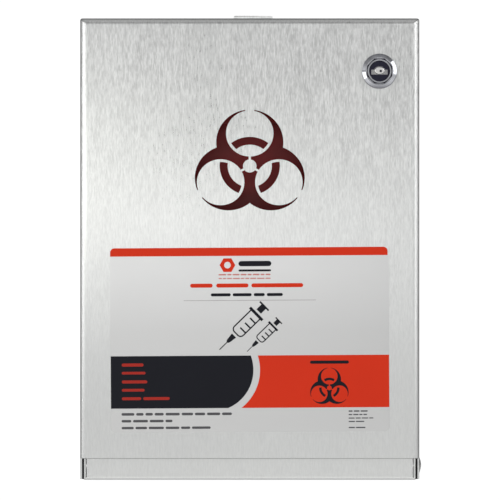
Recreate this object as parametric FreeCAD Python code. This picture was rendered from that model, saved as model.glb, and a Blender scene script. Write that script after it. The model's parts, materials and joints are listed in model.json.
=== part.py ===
"""Wall-mounted steel sharps cabinet with a disposable container inside.

A folded back housing screws to a wall.  A folded front cover, with a trefoil
window, a cam lock and a drop chute in its top, pivots on two pins low in the
sides and swings forward and down.  A plastic container stands inside, under
the chute, and a sliding shutter closes its mouth for good.

Millimetres.  +Z is up and -Y is the front.  The origin is on the wall plane,
in the middle of the four wall screw holes.
"""

import FreeCAD, Part
import math
import os

Vector = FreeCAD.Vector

# ---- driving dimensions ---------------------------------------------------
WIDTH = 216.0            # outside of the front cover
DEPTH = 121.0            # wall to the front face
HEIGHT = 294.0           # underside to the top of the cover
SHEET = 1.2              # stainless sheet
CLEAR = 0.1              # gap between parts that are fitted together
BIG = 400.0              # longer than any part, for open-ended cuts

Z_TOP = HEIGHT / 2
Z_BOTTOM = -HEIGHT / 2
Y_FRONT = -DEPTH

# front cover
COVER_BEND = 4.4         # outside radius of the front bends
COVER_SEAM = 1.5         # outside radius of the welded top corners
SIDE_FRONT = Y_FRONT + 3.2           # front edge of the sides, below the panel
COVER_BACK = -3.6        # rear edge of the cover's sides and top
COVER_LOW = Z_BOTTOM + 0.6
COVER_CORNER = 9.0       # round on the sides' lower rear corners
PANEL_LOW = -133.1       # lower edge of the front panel
COVER_INNER_TOP = Z_TOP - SHEET
PANEL_INNER = Y_FRONT + SHEET

# back housing
HOUSING_GAP = 1.4        # between the cover's sides and the housing's
HOUSING_HALF = WIDTH / 2 - SHEET - HOUSING_GAP
HOUSING_FRONT = PANEL_INNER + 1.3
HOUSING_TOP = COVER_INNER_TOP - 2.3
HOUSING_BEND = 2.0
LIP_TOP = -127.0
LIP_RELIEF = (-0.45, 0.35)           # slot between the lip and each side wall, from the wall's inner face
LIP_RELIEF_LOW = 0.4                 # the slot's lower end, above the floor's inner face
RETURN_DEPTH = 16.0      # folded strip along the top of the back plate
TAB_NOTCH = 1.6          # room each side of the hanging tab
WALL_HOLE_R = 2.75
WALL_HOLE_X = 70.0
WALL_HOLE_Z = 100.0

# hanging tab, welded to the back plate
TAB_X = 2.3
TAB_HALF = 13.1
TAB_LOW = 112.0
TAB_TOP = 157.2
TAB_CORNER = 0.8
TAB_HOLE_Z = 151.2

# hinge pins: close behind the panel, so that its lower edge meets the lip just past 90 degrees
PIVOT_Y = Y_FRONT + 6.8
PIVOT_Z = PANEL_LOW - 4.5
PIN_R = 2.0
PIN_HEAD_R = 4.9
PIN_HEAD_LENGTH = 1.15
PIN_TAIL = (2.8, 1.2, 0.6)           # radius, length and edge round of the formed tail
PIN_COLLAR = (2.6, 0.5)              # radius and length of the left pin's collar, sunk in its spacer
SPACER_Y = (-3.0, 5.2)               # nylon spacer in the gap beside each pin, from the pin's axis
SPACER_Z = (-8.9, 6.0)
SPACER_CORNER = 1.5
SPACER_OUT = WIDTH / 2 - SHEET - CLEAR

# trefoil window: nearly the proportions of the standard symbol, in units of SYMBOL_UNIT
SYMBOL_UNIT = 1.4245
SYMBOL_SQUASH = 0.967    # its height is a little less than a round symbol's
SYMBOL_Z = 52.9
SYMBOL_ARMS = (90, 210, 330)
SYMBOL_RING = (9.85, 13.45)          # inner and outer radius

# cam lock
LOCK_X = 82.4
LOCK_Z = 113.1
BEZEL_R = 11.15
BEZEL_FACE_R = 8.9
BEZEL_LENGTH = 3.0
BEZEL_RIM = 0.9          # upright part of the rim, behind the bevel
BEZEL_ROUND = 0.8        # round between the bevel and the rim
BEZEL_GROOVE = (15.9, 7.5)           # octagon across flats, and the round ring inside it
BEZEL_GROOVE_DEPTH = 0.9
BARREL_R = 9.5
BARREL_FLATS = 16.0
PLUG_R = 6.6
PLUG_FACE = Y_FRONT - BEZEL_LENGTH + 0.7
BARREL_END = -106.6
CAM_FRONT = -106.0
CAM_THICK = 2.4
CAM_REACH = 18.0
CAM_HALF = 7.0
TAIL_HALF = 3.5          # square tail of the plug, which the cam fits
SCREW_R = 2.1

# inside the lock's plug: depths from its face, heights from its axis
PLUG_EDGE = 0.4
KEYWAY_HALF_X = 5.4
KEYWAY_Z = (-2.2, 0.9)
CHAMBER_Y = (0.8, 7.2)               # room that the flap swings in
CHAMBER_Z = (-2.8, 3.0)
CHAMBER_TOP = (4.8, 3.95)            # half width and height of its upper part, round the hinge line
KEY_ROOM = (4.4, 1.5)                # half width and half height of the key's way past the wafers
KEY_ROOM_END = 13.7
BOSS_HALF = (3.2, 2.35)              # the flap's oval boss, half width and half height
BOSS_Z = 0.5
BOSS_FACE = 0.15
FLAP_Y = (0.9, 1.7)
FLAP_WIDE = (5.2, -2.5, 1.0)         # half width, low and high: the part that covers the keyway
FLAP_NARROW = (4.6, 3.3)             # half width and height of the part that meets the hinge line
FLAP_AXIS = (1.4, 3.3)
FLAP_BARREL_R = 0.5
TRUNNION_R = 0.35
PEEPHOLE = (0.8, 0.8)                # the boss's small hole: radius, and distance right of the axis
WAFER_HALF = (3.1, 2.2)              # wafer and its window, half widths
WAFER_COUNT = 5
WAFER_FIRST = PLUG_FACE + 7.5
WAFER_PITCH = 1.3
WAFER_THICK = 0.6
CLIP_GROOVE_R = 5.6
CLIP_R = 8.0
CLIP_OPEN = 4.5          # half width of the clip's open side
SCREW_TIP = -107.5
STRIKE_FRONT = CAM_FRONT - 2.2

# nut and washer behind the panel, and what holds the cam
LOCK_WASHER = (13.0, 0.8)            # radius, thickness
LOCK_NUT = (24.0, 3.4)               # across flats, thickness
CAM_WASHER = (5.4, 0.6)
SCREW_HEAD = (4.4, 2.0)
SCREW_CROSS = (2.6, 0.5, 0.7)        # half length and half width of the cross, and metal left under it

# drop chute
CHUTE_Y = -52.0
CHUTE_R = 20.0
CHUTE_WALL = 1.2
CHUTE_FLANGE_R = 27.0
CHUTE_RING = (6.0, 2.2)              # width and thickness of the ring under the top
CHUTE_END = 123.0

# container
CONTAINER_Y = CHUTE_Y
CONTAINER_FLOOR = Z_BOTTOM + SHEET + 0.1
RIM_TOP = 88.0
TUB_TOP = (194.0, 86.0, 20.0)        # width, depth, corner radius
TUB_BOTTOM = (187.0, 79.0, 16.0)
TUB_WALL = 1.8
TUB_FLOOR_ROUND = 5.0    # outside radius between the tub's floor and its sides
RIM_OUT = 2.5
RIM_THICK = 3.0
GASKET = 1.2
GASKET_EDGES = (-1.2, 1.9)           # inner and outer edge, from the tub's outside
LID_OUT = 4.7
LID_THICK = 2.0
LID_ROUND = 1.5
SKIRT_WALL = 1.8
SKIRT_LOW = 81.0
DECK_TOP = RIM_TOP + GASKET + LID_THICK
MOUTH_R = 26.0
NECK_R = 30.0
NECK_WALL = 2.0
NECK_TOP = 118.0
COLLAR_HALF_Y = 33.0
COLLAR_TOP = DECK_TOP + 6.0
SHUTTER_HALF_Y = 30.0
SHUTTER_THICK = 2.0
SHUTTER_OPEN_X = (30.2, 95.5)        # the shutter's two ends when open
RAIL_X = (31.0, 97.0)
RAIL = (2.0, 2.0, 1.6)               # thickness, overhang past the shutter's edge, thickness of the overhang
RAIL_ROOM = (0.4, 0.5)               # the shutter's clearance beside it and above it

# front label
LABEL_HALF_X = 88.6
LABEL_Z = (-116.1, 1.2)
LABEL_THICK = 0.25
LABEL_CORNER = 3.0
LABEL_TILT = 0.35                    # degrees, as stuck on by hand

PARTS = {}


# ---- helpers --------------------------------------------------------------
def box(x, y, z):
    """Box from three (low, high) pairs."""
    return Part.makeBox(x[1] - x[0], y[1] - y[0], z[1] - z[0], Vector(x[0], y[0], z[0]))


def rod_x(r, x0, x1, y, z):
    return Part.makeCylinder(r, x1 - x0, Vector(x0, y, z), Vector(1, 0, 0))


def rod_y(r, y0, y1, x, z):
    return Part.makeCylinder(r, y1 - y0, Vector(x, y0, z), Vector(0, 1, 0))


def rod_z(r, z0, z1, x, y):
    return Part.makeCylinder(r, z1 - z0, Vector(x, y, z0), Vector(0, 0, 1))


def ring_y(outer, inner, y0, y1, x, z):
    return rod_y(outer, y0, y1, x, z).cut(rod_y(inner, y0 - 1, y1 + 1, x, z))


def ring_z(outer, inner, z0, z1, x, y):
    return rod_z(outer, z0, z1, x, y).cut(rod_z(inner, z0 - 1, z1 + 1, x, y))


def edges_at(shape, **planes):
    """Straight edges that lie on every named plane, such as y=-121 with z=147."""
    found = []
    for edge in shape.Edges:
        b = edge.BoundBox
        ends = {"x": (b.XMin, b.XMax), "y": (b.YMin, b.YMax), "z": (b.ZMin, b.ZMax)}
        if all(abs(v - at) < 0.01 for axis, at in planes.items() for v in ends[axis]):
            found.append(edge)
    return found


def fillet(shape, radius, *places):
    edges = [e for place in places for e in edges_at(shape, **place)]
    return shape.makeFillet(radius, edges)


def rounded_wire(size, z):
    """Closed wire of a rounded rectangle about the container's axis."""
    hx, hy, r = size[0] / 2, size[1] / 2, size[2]
    corners = ((hx - r, hy - r, 0), (r - hx, hy - r, 90), (r - hx, r - hy, 180), (hx - r, r - hy, 270))
    bends = []
    for x, y, start in corners:
        angles = [math.radians(start + step) for step in (0, 45, 90)]
        bends.append([Vector(x + r * math.cos(a), CONTAINER_Y + y + r * math.sin(a), z) for a in angles])
    edges = []
    for bend, following in zip(bends, bends[1:] + bends[:1]):
        edges.append(Part.Arc(*bend).toShape())
        edges.append(Part.LineSegment(bend[2], following[0]).toShape())
    return Part.Wire(edges)


def slab(size, z0, z1):
    """Rounded-rectangle slab about the container's axis."""
    return Part.Face(rounded_wire(size, z0)).extrude(Vector(0, 0, z1 - z0))


def grown(size, by):
    width, depth, r = size
    return (width + 2 * by, depth + 2 * by, r + by)


def keep(name, *shapes):
    """Stores one node.  Several shapes make a node of separate solids."""
    PARTS[name] = shapes[0] if len(shapes) == 1 else Part.makeCompound(list(shapes))


# ---- back housing and what is fixed to it ---------------------------------
def back_housing():
    outer, inner = HOUSING_HALF, HOUSING_HALF - SHEET
    inner_front, inner_floor = HOUSING_FRONT + SHEET, Z_BOTTOM + SHEET
    body = box((-outer, outer), (HOUSING_FRONT, 0), (Z_BOTTOM, HOUSING_TOP))
    body = fillet(body, HOUSING_BEND, {"x": -outer, "y": 0}, {"x": outer, "y": 0},
                  {"y": HOUSING_FRONT, "z": Z_BOTTOM}, {"y": 0, "z": Z_BOTTOM})
    hollow = box((-inner, inner), (inner_front, -SHEET), (inner_floor, BIG))
    hollow = fillet(hollow, HOUSING_BEND - SHEET, {"x": -inner, "y": -SHEET}, {"x": inner, "y": -SHEET},
                    {"y": inner_front, "z": inner_floor}, {"y": -SHEET, "z": inner_floor})
    body = body.cut(hollow)
    body = body.cut(box((-inner, inner), (HOUSING_FRONT - 1, inner_front), (LIP_TOP, BIG)))
    for side in (-1, 1):
        slot = sorted(side * (inner + edge) for edge in LIP_RELIEF)
        body = body.cut(box(slot, (HOUSING_FRONT - 1, inner_front), (inner_floor + LIP_RELIEF_LOW, LIP_TOP)))
    fold = box((-inner, inner), (-RETURN_DEPTH, -SHEET), (HOUSING_TOP - SHEET, HOUSING_TOP))
    notch = TAB_HALF + TAB_NOTCH
    fold = fold.cut(box((TAB_X - notch, TAB_X + notch), (-RETURN_DEPTH, -SHEET), (0, BIG)))
    body = body.fuse(fold)
    for x in (-WALL_HOLE_X, WALL_HOLE_X):
        for z in (-WALL_HOLE_Z, WALL_HOLE_Z):
            body = body.cut(rod_y(WALL_HOLE_R, -5, 5, x, z))
    return body.cut(rod_x(PIN_R + CLEAR / 2, -BIG, BIG, PIVOT_Y, PIVOT_Z)).removeSplitter()


def hanging_tab():
    left, right = TAB_X - TAB_HALF, TAB_X + TAB_HALF
    plate = box((left, right), (-2 * SHEET, -SHEET), (TAB_LOW, TAB_TOP))
    plate = fillet(plate, TAB_CORNER, {"x": left, "z": TAB_TOP}, {"x": right, "z": TAB_TOP})
    return plate.cut(rod_y(WALL_HOLE_R, -5, 5, TAB_X, TAB_HOLE_Z))


def container_stop():
    """Angle on the floor that keeps the container back, under the chute."""
    floor = Z_BOTTOM + SHEET
    back = CONTAINER_Y - TUB_BOTTOM[1] / 2 - 1.0
    half, foot, rise = 60.0, 12.0, 15.0
    outer = box((-half, half), (back - foot, back), (floor, floor + rise))
    outer = fillet(outer, HOUSING_BEND, {"y": back, "z": floor})
    inner = box((-BIG, BIG), (-BIG, back - SHEET), (floor + SHEET, BIG))
    inner = fillet(inner, HOUSING_BEND - SHEET, {"y": back - SHEET, "z": floor + SHEET})
    return outer.cut(inner)


def lock_strike():
    """Angle on the right wall.  The cam turns in behind its flange."""
    wall = HOUSING_HALF - SHEET
    half_height, leg, reach = 14.0, 9.0, 11.0
    z = (LOCK_Z - half_height, LOCK_Z + half_height)
    back = STRIKE_FRONT + SHEET
    outer = box((wall - reach, wall), (back - leg, back), z)
    outer = fillet(outer, HOUSING_BEND, {"x": wall, "y": back})
    inner = box((-BIG, wall - SHEET), (-BIG, back - SHEET), (-BIG, BIG))
    inner = fillet(inner, HOUSING_BEND - SHEET, {"x": wall - SHEET, "y": back - SHEET})
    return outer.cut(inner)


def cover_bumpers():
    """Two rubber buttons that the cover's top lands on."""
    r, edge, x, y = 4.5, 0.8, 75.0, -9.0
    top = COVER_INNER_TOP - 2 * CLEAR
    button = rod_z(r, HOUSING_TOP, top, x, y)
    button = button.makeFillet(edge, edges_at(button, z=top))
    return [button, button.mirror(Vector(0, 0, 0), Vector(1, 0, 0))]


def pin_shank(outer_end):
    """Plain shank, with the tail that is formed inside the housing."""
    r, length, edge = PIN_TAIL
    tail_to = HOUSING_HALF - SHEET - CLEAR
    tail = rod_x(r, tail_to - length, tail_to, PIVOT_Y, PIVOT_Z)
    tail = tail.makeFillet(edge, edges_at(tail, x=tail_to - length))
    return tail.fuse(rod_x(PIN_R, tail_to - length, outer_end, PIVOT_Y, PIVOT_Z))


def domed_pin():
    """Rivet of the right side, with a domed head outside the cover."""
    head_from = WIDTH / 2 + CLEAR
    tip = head_from + PIN_HEAD_LENGTH
    ball_r = (PIN_HEAD_R ** 2 + PIN_HEAD_LENGTH ** 2) / (2 * PIN_HEAD_LENGTH)
    head = Part.makeSphere(ball_r, Vector(tip - ball_r, PIVOT_Y, PIVOT_Z))
    head = head.common(rod_x(PIN_HEAD_R, head_from, tip + 1, PIVOT_Y, PIVOT_Z))
    return pin_shank(head_from + PIN_HEAD_LENGTH / 2).fuse(head).removeSplitter()


def flush_pin():
    """Stud of the left side: flush with the outside of the cover, and held by a collar behind it."""
    r, length = PIN_COLLAR
    collar = rod_x(r, SPACER_OUT - length, SPACER_OUT, PIVOT_Y, PIVOT_Z)
    pin = pin_shank(WIDTH / 2).fuse(collar).removeSplitter()
    return pin.mirror(Vector(0, 0, 0), Vector(1, 0, 0))


def hinge_spacer(side):
    """Nylon plate that fills the gap between cover and housing round each pin."""
    x = (HOUSING_HALF + CLEAR / 2, SPACER_OUT)
    y = [PIVOT_Y + d for d in SPACER_Y]
    z = [PIVOT_Z + d for d in SPACER_Z]
    spacer = fillet(box(x, y, z), SPACER_CORNER, *[{"y": a, "z": b} for a in y for b in z])
    spacer = spacer.cut(rod_x(PIN_R + CLEAR / 2, 0, WIDTH, PIVOT_Y, PIVOT_Z))
    if side > 0:
        return spacer
    r, length = PIN_COLLAR
    spacer = spacer.cut(rod_x(r + CLEAR, SPACER_OUT - length - CLEAR, WIDTH, PIVOT_Y, PIVOT_Z))
    return spacer.mirror(Vector(0, 0, 0), Vector(1, 0, 0))


# ---- front cover and what is fixed to it ----------------------------------
def trefoil(y0, y1):
    """The cut-outs of the three-armed warning symbol, as solids from y0 to y1."""
    u = SYMBOL_UNIT

    def place(distance, angle, aside=0.0):
        """A point at a distance along an arm, and aside from it."""
        a = math.radians(angle)
        x = u * (distance * math.cos(a) - aside * math.sin(a))
        z = u * (distance * math.sin(a) + aside * math.cos(a))
        return Vector(x, y0, SYMBOL_Z + SYMBOL_SQUASH * z)

    def prism(outline):
        return Part.Face(Part.Wire(outline)).extrude(Vector(0, y1 - y0, 0))

    def disc(r, distance, angle):
        centre = place(distance, angle)
        side, top = centre + Vector(r * u, 0, 0), centre + Vector(0, 0, r * u * SYMBOL_SQUASH)
        return prism(Part.Ellipse(side, top, centre).toShape())

    def strip(width, start, end, angle):
        corners = ((start, -1), (end, -1), (end, 1), (start, 1), (start, -1))
        return prism(Part.makePolygon([place(d, angle, side * width / 2) for d, side in corners]))

    crescents = disc(15, 11, SYMBOL_ARMS[0])
    for angle in SYMBOL_ARMS[1:]:
        crescents = crescents.fuse(disc(15, 11, angle))
    for angle in SYMBOL_ARMS:
        crescents = crescents.cut(disc(10.6, 15, angle))
        crescents = crescents.cut(strip(1.0, 0, 6, angle))
        crescents = crescents.cut(strip(4.0, 15, 28, angle))
    crescents = crescents.cut(disc(3, 0, 0))
    ring_in, ring_out = SYMBOL_RING
    band = disc(ring_out, 0, 0).cut(disc(ring_in, 0, 0))
    for angle in SYMBOL_ARMS:
        crescents = crescents.fuse(band.common(disc(9.4, 15, angle)))
    return crescents


def double_d(r, flats, y0, y1):
    """Round barrel shape with two flats, about the lock's axis."""
    barrel = rod_y(r, y0, y1, LOCK_X, LOCK_Z)
    return barrel.common(box((-BIG, BIG), (y0, y1), (LOCK_Z - flats / 2, LOCK_Z + flats / 2)))


def front_cover():
    half, inner = WIDTH / 2, WIDTH / 2 - SHEET
    body = box((-half, half), (Y_FRONT, COVER_BACK), (COVER_LOW, Z_TOP))
    body = fillet(body, COVER_BEND, {"x": -half, "y": Y_FRONT}, {"x": half, "y": Y_FRONT},
                  {"y": Y_FRONT, "z": Z_TOP})
    body = fillet(body, COVER_SEAM, {"x": -half, "z": Z_TOP}, {"x": half, "z": Z_TOP})
    hollow = box((-inner, inner), (PANEL_INNER, BIG), (-BIG, COVER_INNER_TOP))
    hollow = fillet(hollow, COVER_BEND - SHEET, {"x": -inner, "y": PANEL_INNER}, {"x": inner, "y": PANEL_INNER},
                    {"y": PANEL_INNER, "z": COVER_INNER_TOP})
    body = body.cut(hollow)
    body = body.cut(box((-BIG, BIG), (-BIG, SIDE_FRONT), (-BIG, PANEL_LOW)))
    body = body.cut(box((-inner, inner), (SIDE_FRONT - 1, Y_FRONT + COVER_BEND), (-BIG, PANEL_LOW)))
    body = fillet(body, COVER_CORNER, {"y": COVER_BACK, "z": COVER_LOW})
    body = body.cut(trefoil(Y_FRONT - 1, PANEL_INNER + 1))
    body = body.cut(double_d(BARREL_R + CLEAR, BARREL_FLATS + 2 * CLEAR, Y_FRONT - 1, PANEL_INNER + 1))
    body = body.cut(rod_z(CHUTE_R + CLEAR, COVER_INNER_TOP - 1, Z_TOP + 1, 0, CHUTE_Y))
    return body.cut(rod_x(PIN_R + CLEAR / 2, -BIG, BIG, PIVOT_Y, PIVOT_Z)).removeSplitter()


def front_label():
    film = box((-LABEL_HALF_X, LABEL_HALF_X), (Y_FRONT - LABEL_THICK, Y_FRONT), LABEL_Z)
    corners = [{"x": x, "z": z} for x in (-LABEL_HALF_X, LABEL_HALF_X) for z in LABEL_Z]
    film = fillet(film, LABEL_CORNER, *corners)
    film.rotate(Vector(0, 0, sum(LABEL_Z) / 2), Vector(0, 1, 0), -LABEL_TILT)
    return film


def drop_chute():
    """Flanged tube that guides what is dropped in to the container's mouth."""
    inner = CHUTE_R - CHUTE_WALL
    chute = rod_z(CHUTE_R, CHUTE_END, Z_TOP + CHUTE_WALL, 0, CHUTE_Y)
    chute = chute.fuse(rod_z(CHUTE_FLANGE_R, Z_TOP, Z_TOP + CHUTE_WALL, 0, CHUTE_Y))
    chute = chute.cut(rod_z(inner, CHUTE_END - 1, BIG, 0, CHUTE_Y)).removeSplitter()
    rims = edges_at(chute, z=Z_TOP + CHUTE_WALL)
    return chute.makeFillet(1.0, rims)


def chute_ring():
    """Press-on ring that holds the chute up against the cover's top."""
    width, thick = CHUTE_RING
    return ring_z(CHUTE_R + width, CHUTE_R + CLEAR, COVER_INNER_TOP - thick, COVER_INNER_TOP, 0, CHUTE_Y)


def polygon_y(corners, across, y0, y1, turn=0.0):
    """Regular prism about the lock's axis, from its width across flats."""
    r = across / 2 / math.cos(math.pi / corners)
    angles = [2 * math.pi * k / corners + math.radians(turn) for k in range(corners + 1)]
    points = [Vector(LOCK_X + r * math.cos(a), y0, LOCK_Z + r * math.sin(a)) for a in angles]
    return Part.Face(Part.makePolygon(points)).extrude(Vector(0, y1 - y0, 0))


def lock_body():
    """Bevelled bezel with a round ring inside an eight-sided groove, and a double-D barrel behind it."""
    front, across, ring_r = Y_FRONT - BEZEL_LENGTH, *BEZEL_GROOVE
    bevel = BEZEL_LENGTH - BEZEL_RIM
    bezel = Part.makeCone(BEZEL_FACE_R, BEZEL_R, bevel, Vector(LOCK_X, front, LOCK_Z), Vector(0, 1, 0))
    bezel = bezel.fuse(rod_y(BEZEL_R, front + bevel, Y_FRONT, LOCK_X, LOCK_Z)).removeSplitter()
    bezel = bezel.makeFillet(BEZEL_ROUND, edges_at(bezel, y=front + bevel))
    groove = polygon_y(8, across, front - 1, front + BEZEL_GROOVE_DEPTH, 22.5).cut(
        rod_y(ring_r, front - 2, front + 2, LOCK_X, LOCK_Z))
    barrel = double_d(BARREL_R, BARREL_FLATS, Y_FRONT, BARREL_END)
    bore = rod_y(PLUG_R + CLEAR / 2, front - 1, BARREL_END + 1, LOCK_X, LOCK_Z)
    return bezel.cut(groove).fuse(barrel).cut(bore).removeSplitter()


def lock_washer():
    r, thick = LOCK_WASHER
    hole = double_d(BARREL_R + CLEAR, BARREL_FLATS + 2 * CLEAR, PANEL_INNER - 1, PANEL_INNER + 2)
    return rod_y(r, PANEL_INNER, PANEL_INNER + thick, LOCK_X, LOCK_Z).cut(hole)


def lock_nut():
    across, thick = LOCK_NUT
    y0 = PANEL_INNER + LOCK_WASHER[1]
    nut = polygon_y(6, across, y0, y0 + thick, 30.0)
    round_off = rod_y(across / math.sqrt(3) - 0.5, y0 - 1, y0 + thick + 1, LOCK_X, LOCK_Z)
    return nut.common(round_off).cut(rod_y(BARREL_R + CLEAR, y0 - 1, y0 + thick + 1, LOCK_X, LOCK_Z))


# ---- what turns with the key ----------------------------------------------
def wafer_fronts():
    return [WAFER_FIRST + k * WAFER_PITCH for k in range(WAFER_COUNT)]


def in_plug(half_x, y, z):
    """Box in the plug: half width, and depths and heights from its face and its axis."""
    return box((LOCK_X - half_x, LOCK_X + half_x), (PLUG_FACE + y[0], PLUG_FACE + y[1]),
               (LOCK_Z + z[0], LOCK_Z + z[1]))


def oval(grow, y):
    """Oval prism in the plug: the outline of the flap's boss, grown by a clearance."""
    half_x, half_z = (half + grow for half in BOSS_HALF)
    centre = Vector(LOCK_X, PLUG_FACE + y[0], LOCK_Z + BOSS_Z)
    ellipse = Part.Ellipse(centre + Vector(half_x, 0, 0), centre + Vector(0, 0, half_z), centre)
    return Part.Face(Part.Wire(ellipse.toShape())).extrude(Vector(0, y[1] - y[0], 0))


def flap_rod(r, half):
    """Rod on the flap's hinge line."""
    return rod_x(r, LOCK_X - half, LOCK_X + half, PLUG_FACE + FLAP_AXIS[0], LOCK_Z + FLAP_AXIS[1])


def lock_plug():
    """Keyed cylinder with a keyway, a chamber for its flap, wafer slots and a square tail."""
    shoulder = CAM_FRONT - CLEAR
    plug = rod_y(PLUG_R, PLUG_FACE, shoulder, LOCK_X, LOCK_Z)
    plug = plug.makeFillet(PLUG_EDGE, edges_at(plug, y=PLUG_FACE))
    top_half, top = CHAMBER_TOP
    room_half, room_rise = KEY_ROOM
    plug = plug.cut(in_plug(KEYWAY_HALF_X, (-1, 1), KEYWAY_Z)).cut(oval(2 * CLEAR, (-1, 1)))
    plug = plug.cut(in_plug(KEYWAY_HALF_X, CHAMBER_Y, CHAMBER_Z))
    plug = plug.cut(in_plug(top_half, CHAMBER_Y, (CHAMBER_Z[1], top)))
    plug = plug.cut(flap_rod(TRUNNION_R + CLEAR / 2, FLAP_WIDE[0] + CLEAR))
    plug = plug.cut(in_plug(room_half, (CHAMBER_Y[1] - 0.2, KEY_ROOM_END), (-room_rise, room_rise)))
    for y in wafer_fronts():
        slot = (y - PLUG_FACE - CLEAR / 2, y - PLUG_FACE + WAFER_THICK + CLEAR / 2)
        plug = plug.cut(in_plug(WAFER_HALF[0] + CLEAR, slot, (-BIG, BIG)))
    plug = plug.cut(ring_y(PLUG_R + 1, CLIP_GROOVE_R, BARREL_END + 0.05, shoulder - 0.05, LOCK_X, LOCK_Z))
    tail_end = CAM_FRONT + CAM_THICK
    tail = box((LOCK_X - TAIL_HALF, LOCK_X + TAIL_HALF), (shoulder, tail_end),
               (LOCK_Z - TAIL_HALF, LOCK_Z + TAIL_HALF))
    tapped = rod_y(SCREW_R + CLEAR, SCREW_TIP - 0.5, tail_end + 1, LOCK_X, LOCK_Z)
    return plug.fuse(tail).cut(tapped).removeSplitter()


def lock_wafers():
    """Spring wafers in the plug, each with a window for the key."""
    wafers = []
    half, window = WAFER_HALF
    rise = math.sqrt(PLUG_R ** 2 - half ** 2) - CLEAR
    sill = KEY_ROOM[1] - 0.2
    for y in wafer_fronts():
        place = (y - PLUG_FACE, y - PLUG_FACE + WAFER_THICK)
        wafers.append(in_plug(half, place, (-rise, rise)).cut(in_plug(window, place, (-sill, sill))))
    return wafers


def key_flap():
    """Sprung dust flap behind the keyway, with trunnions, a domed oval boss and a small hole."""
    wide, low, high = FLAP_WIDE
    narrow, top = FLAP_NARROW
    plate = in_plug(wide, FLAP_Y, (low, high)).fuse(in_plug(narrow, FLAP_Y, (high - 0.1, top)))
    boss = oval(0.0, (BOSS_FACE, FLAP_Y[0] + 0.3))
    boss = boss.makeFillet(0.6, edges_at(boss, y=PLUG_FACE + BOSS_FACE))
    flap = plate.fuse([flap_rod(FLAP_BARREL_R, narrow), flap_rod(TRUNNION_R, wide), boss])
    r, right = PEEPHOLE
    return flap.cut(rod_y(r, PLUG_FACE, PLUG_FACE + FLAP_Y[0], LOCK_X + right, LOCK_Z)).removeSplitter()


def plug_clip():
    """Spring clip in the plug's groove, behind the barrel."""
    y0, y1 = BARREL_END + CLEAR, CAM_FRONT - 2 * CLEAR
    clip = ring_y(CLIP_R, CLIP_GROOVE_R + CLEAR, y0, y1, LOCK_X, LOCK_Z)
    return clip.cut(box((LOCK_X - CLIP_OPEN, LOCK_X + CLIP_OPEN), (y0 - 1, y1 + 1), (LOCK_Z, BIG)))


def lock_cam():
    """Flat cam.  It hangs straight down when the lock is open."""
    y = (CAM_FRONT, CAM_FRONT + CAM_THICK)
    blade = box((LOCK_X - CAM_HALF, LOCK_X + CAM_HALF), y, (LOCK_Z - CAM_REACH, LOCK_Z))
    blade = fillet(blade, 3.0, {"x": LOCK_X - CAM_HALF, "z": LOCK_Z - CAM_REACH},
                   {"x": LOCK_X + CAM_HALF, "z": LOCK_Z - CAM_REACH})
    blade = blade.fuse(rod_y(CAM_HALF, *y, LOCK_X, LOCK_Z))
    gap = TAIL_HALF + CLEAR / 2
    return blade.cut(box((LOCK_X - gap, LOCK_X + gap), (y[0] - 1, y[1] + 1),
                         (LOCK_Z - gap, LOCK_Z + gap))).removeSplitter()


def cam_washer():
    r, thick = CAM_WASHER
    y0 = CAM_FRONT + CAM_THICK
    return ring_y(r, SCREW_R + 2 * CLEAR, y0, y0 + thick, LOCK_X, LOCK_Z)


def cam_screw():
    """Pan head screw with a cross, into the plug's tail."""
    r, head = SCREW_HEAD
    long, short, left = SCREW_CROSS
    y0 = CAM_FRONT + CAM_THICK + CAM_WASHER[1]
    screw = rod_y(r, y0, y0 + head, LOCK_X, LOCK_Z)
    screw = screw.makeFillet(0.8, edges_at(screw, y=y0 + head))
    for half_x, half_z in ((long, short), (short, long)):
        screw = screw.cut(box((LOCK_X - half_x, LOCK_X + half_x), (y0 + left, y0 + head + 1),
                              (LOCK_Z - half_z, LOCK_Z + half_z)))
    return screw.fuse(rod_y(SCREW_R, SCREW_TIP, y0, LOCK_X, LOCK_Z)).removeSplitter()


# ---- container ------------------------------------------------------------
def loft(bottom, top, z0, z1):
    return Part.makeLoft([rounded_wire(bottom, z0), rounded_wire(top, z1)], True)


def container_body():
    """Tapered tub, open at the top, with a turned-out rim."""
    tub = loft(TUB_BOTTOM, TUB_TOP, CONTAINER_FLOOR, RIM_TOP)
    tub = tub.makeFillet(TUB_FLOOR_ROUND, edges_at(tub, z=CONTAINER_FLOOR))
    hollow = loft(grown(TUB_BOTTOM, -TUB_WALL), grown(TUB_TOP, -TUB_WALL),
                  CONTAINER_FLOOR + TUB_WALL, RIM_TOP + 0.5)
    hollow = hollow.makeFillet(TUB_FLOOR_ROUND - TUB_WALL, edges_at(hollow, z=CONTAINER_FLOOR + TUB_WALL))
    rim = slab(grown(TUB_TOP, RIM_OUT), RIM_TOP - RIM_THICK, RIM_TOP)
    rim = rim.cut(slab(grown(TUB_TOP, -TUB_WALL / 2), RIM_TOP - RIM_THICK - 1, RIM_TOP + 1))
    return tub.cut(hollow).fuse(rim).removeSplitter()


def lid_gasket():
    inner, outer = GASKET_EDGES
    ring = slab(grown(TUB_TOP, outer), RIM_TOP, RIM_TOP + GASKET)
    return ring.cut(slab(grown(TUB_TOP, inner), RIM_TOP - 1, RIM_TOP + GASKET + 1))


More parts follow.
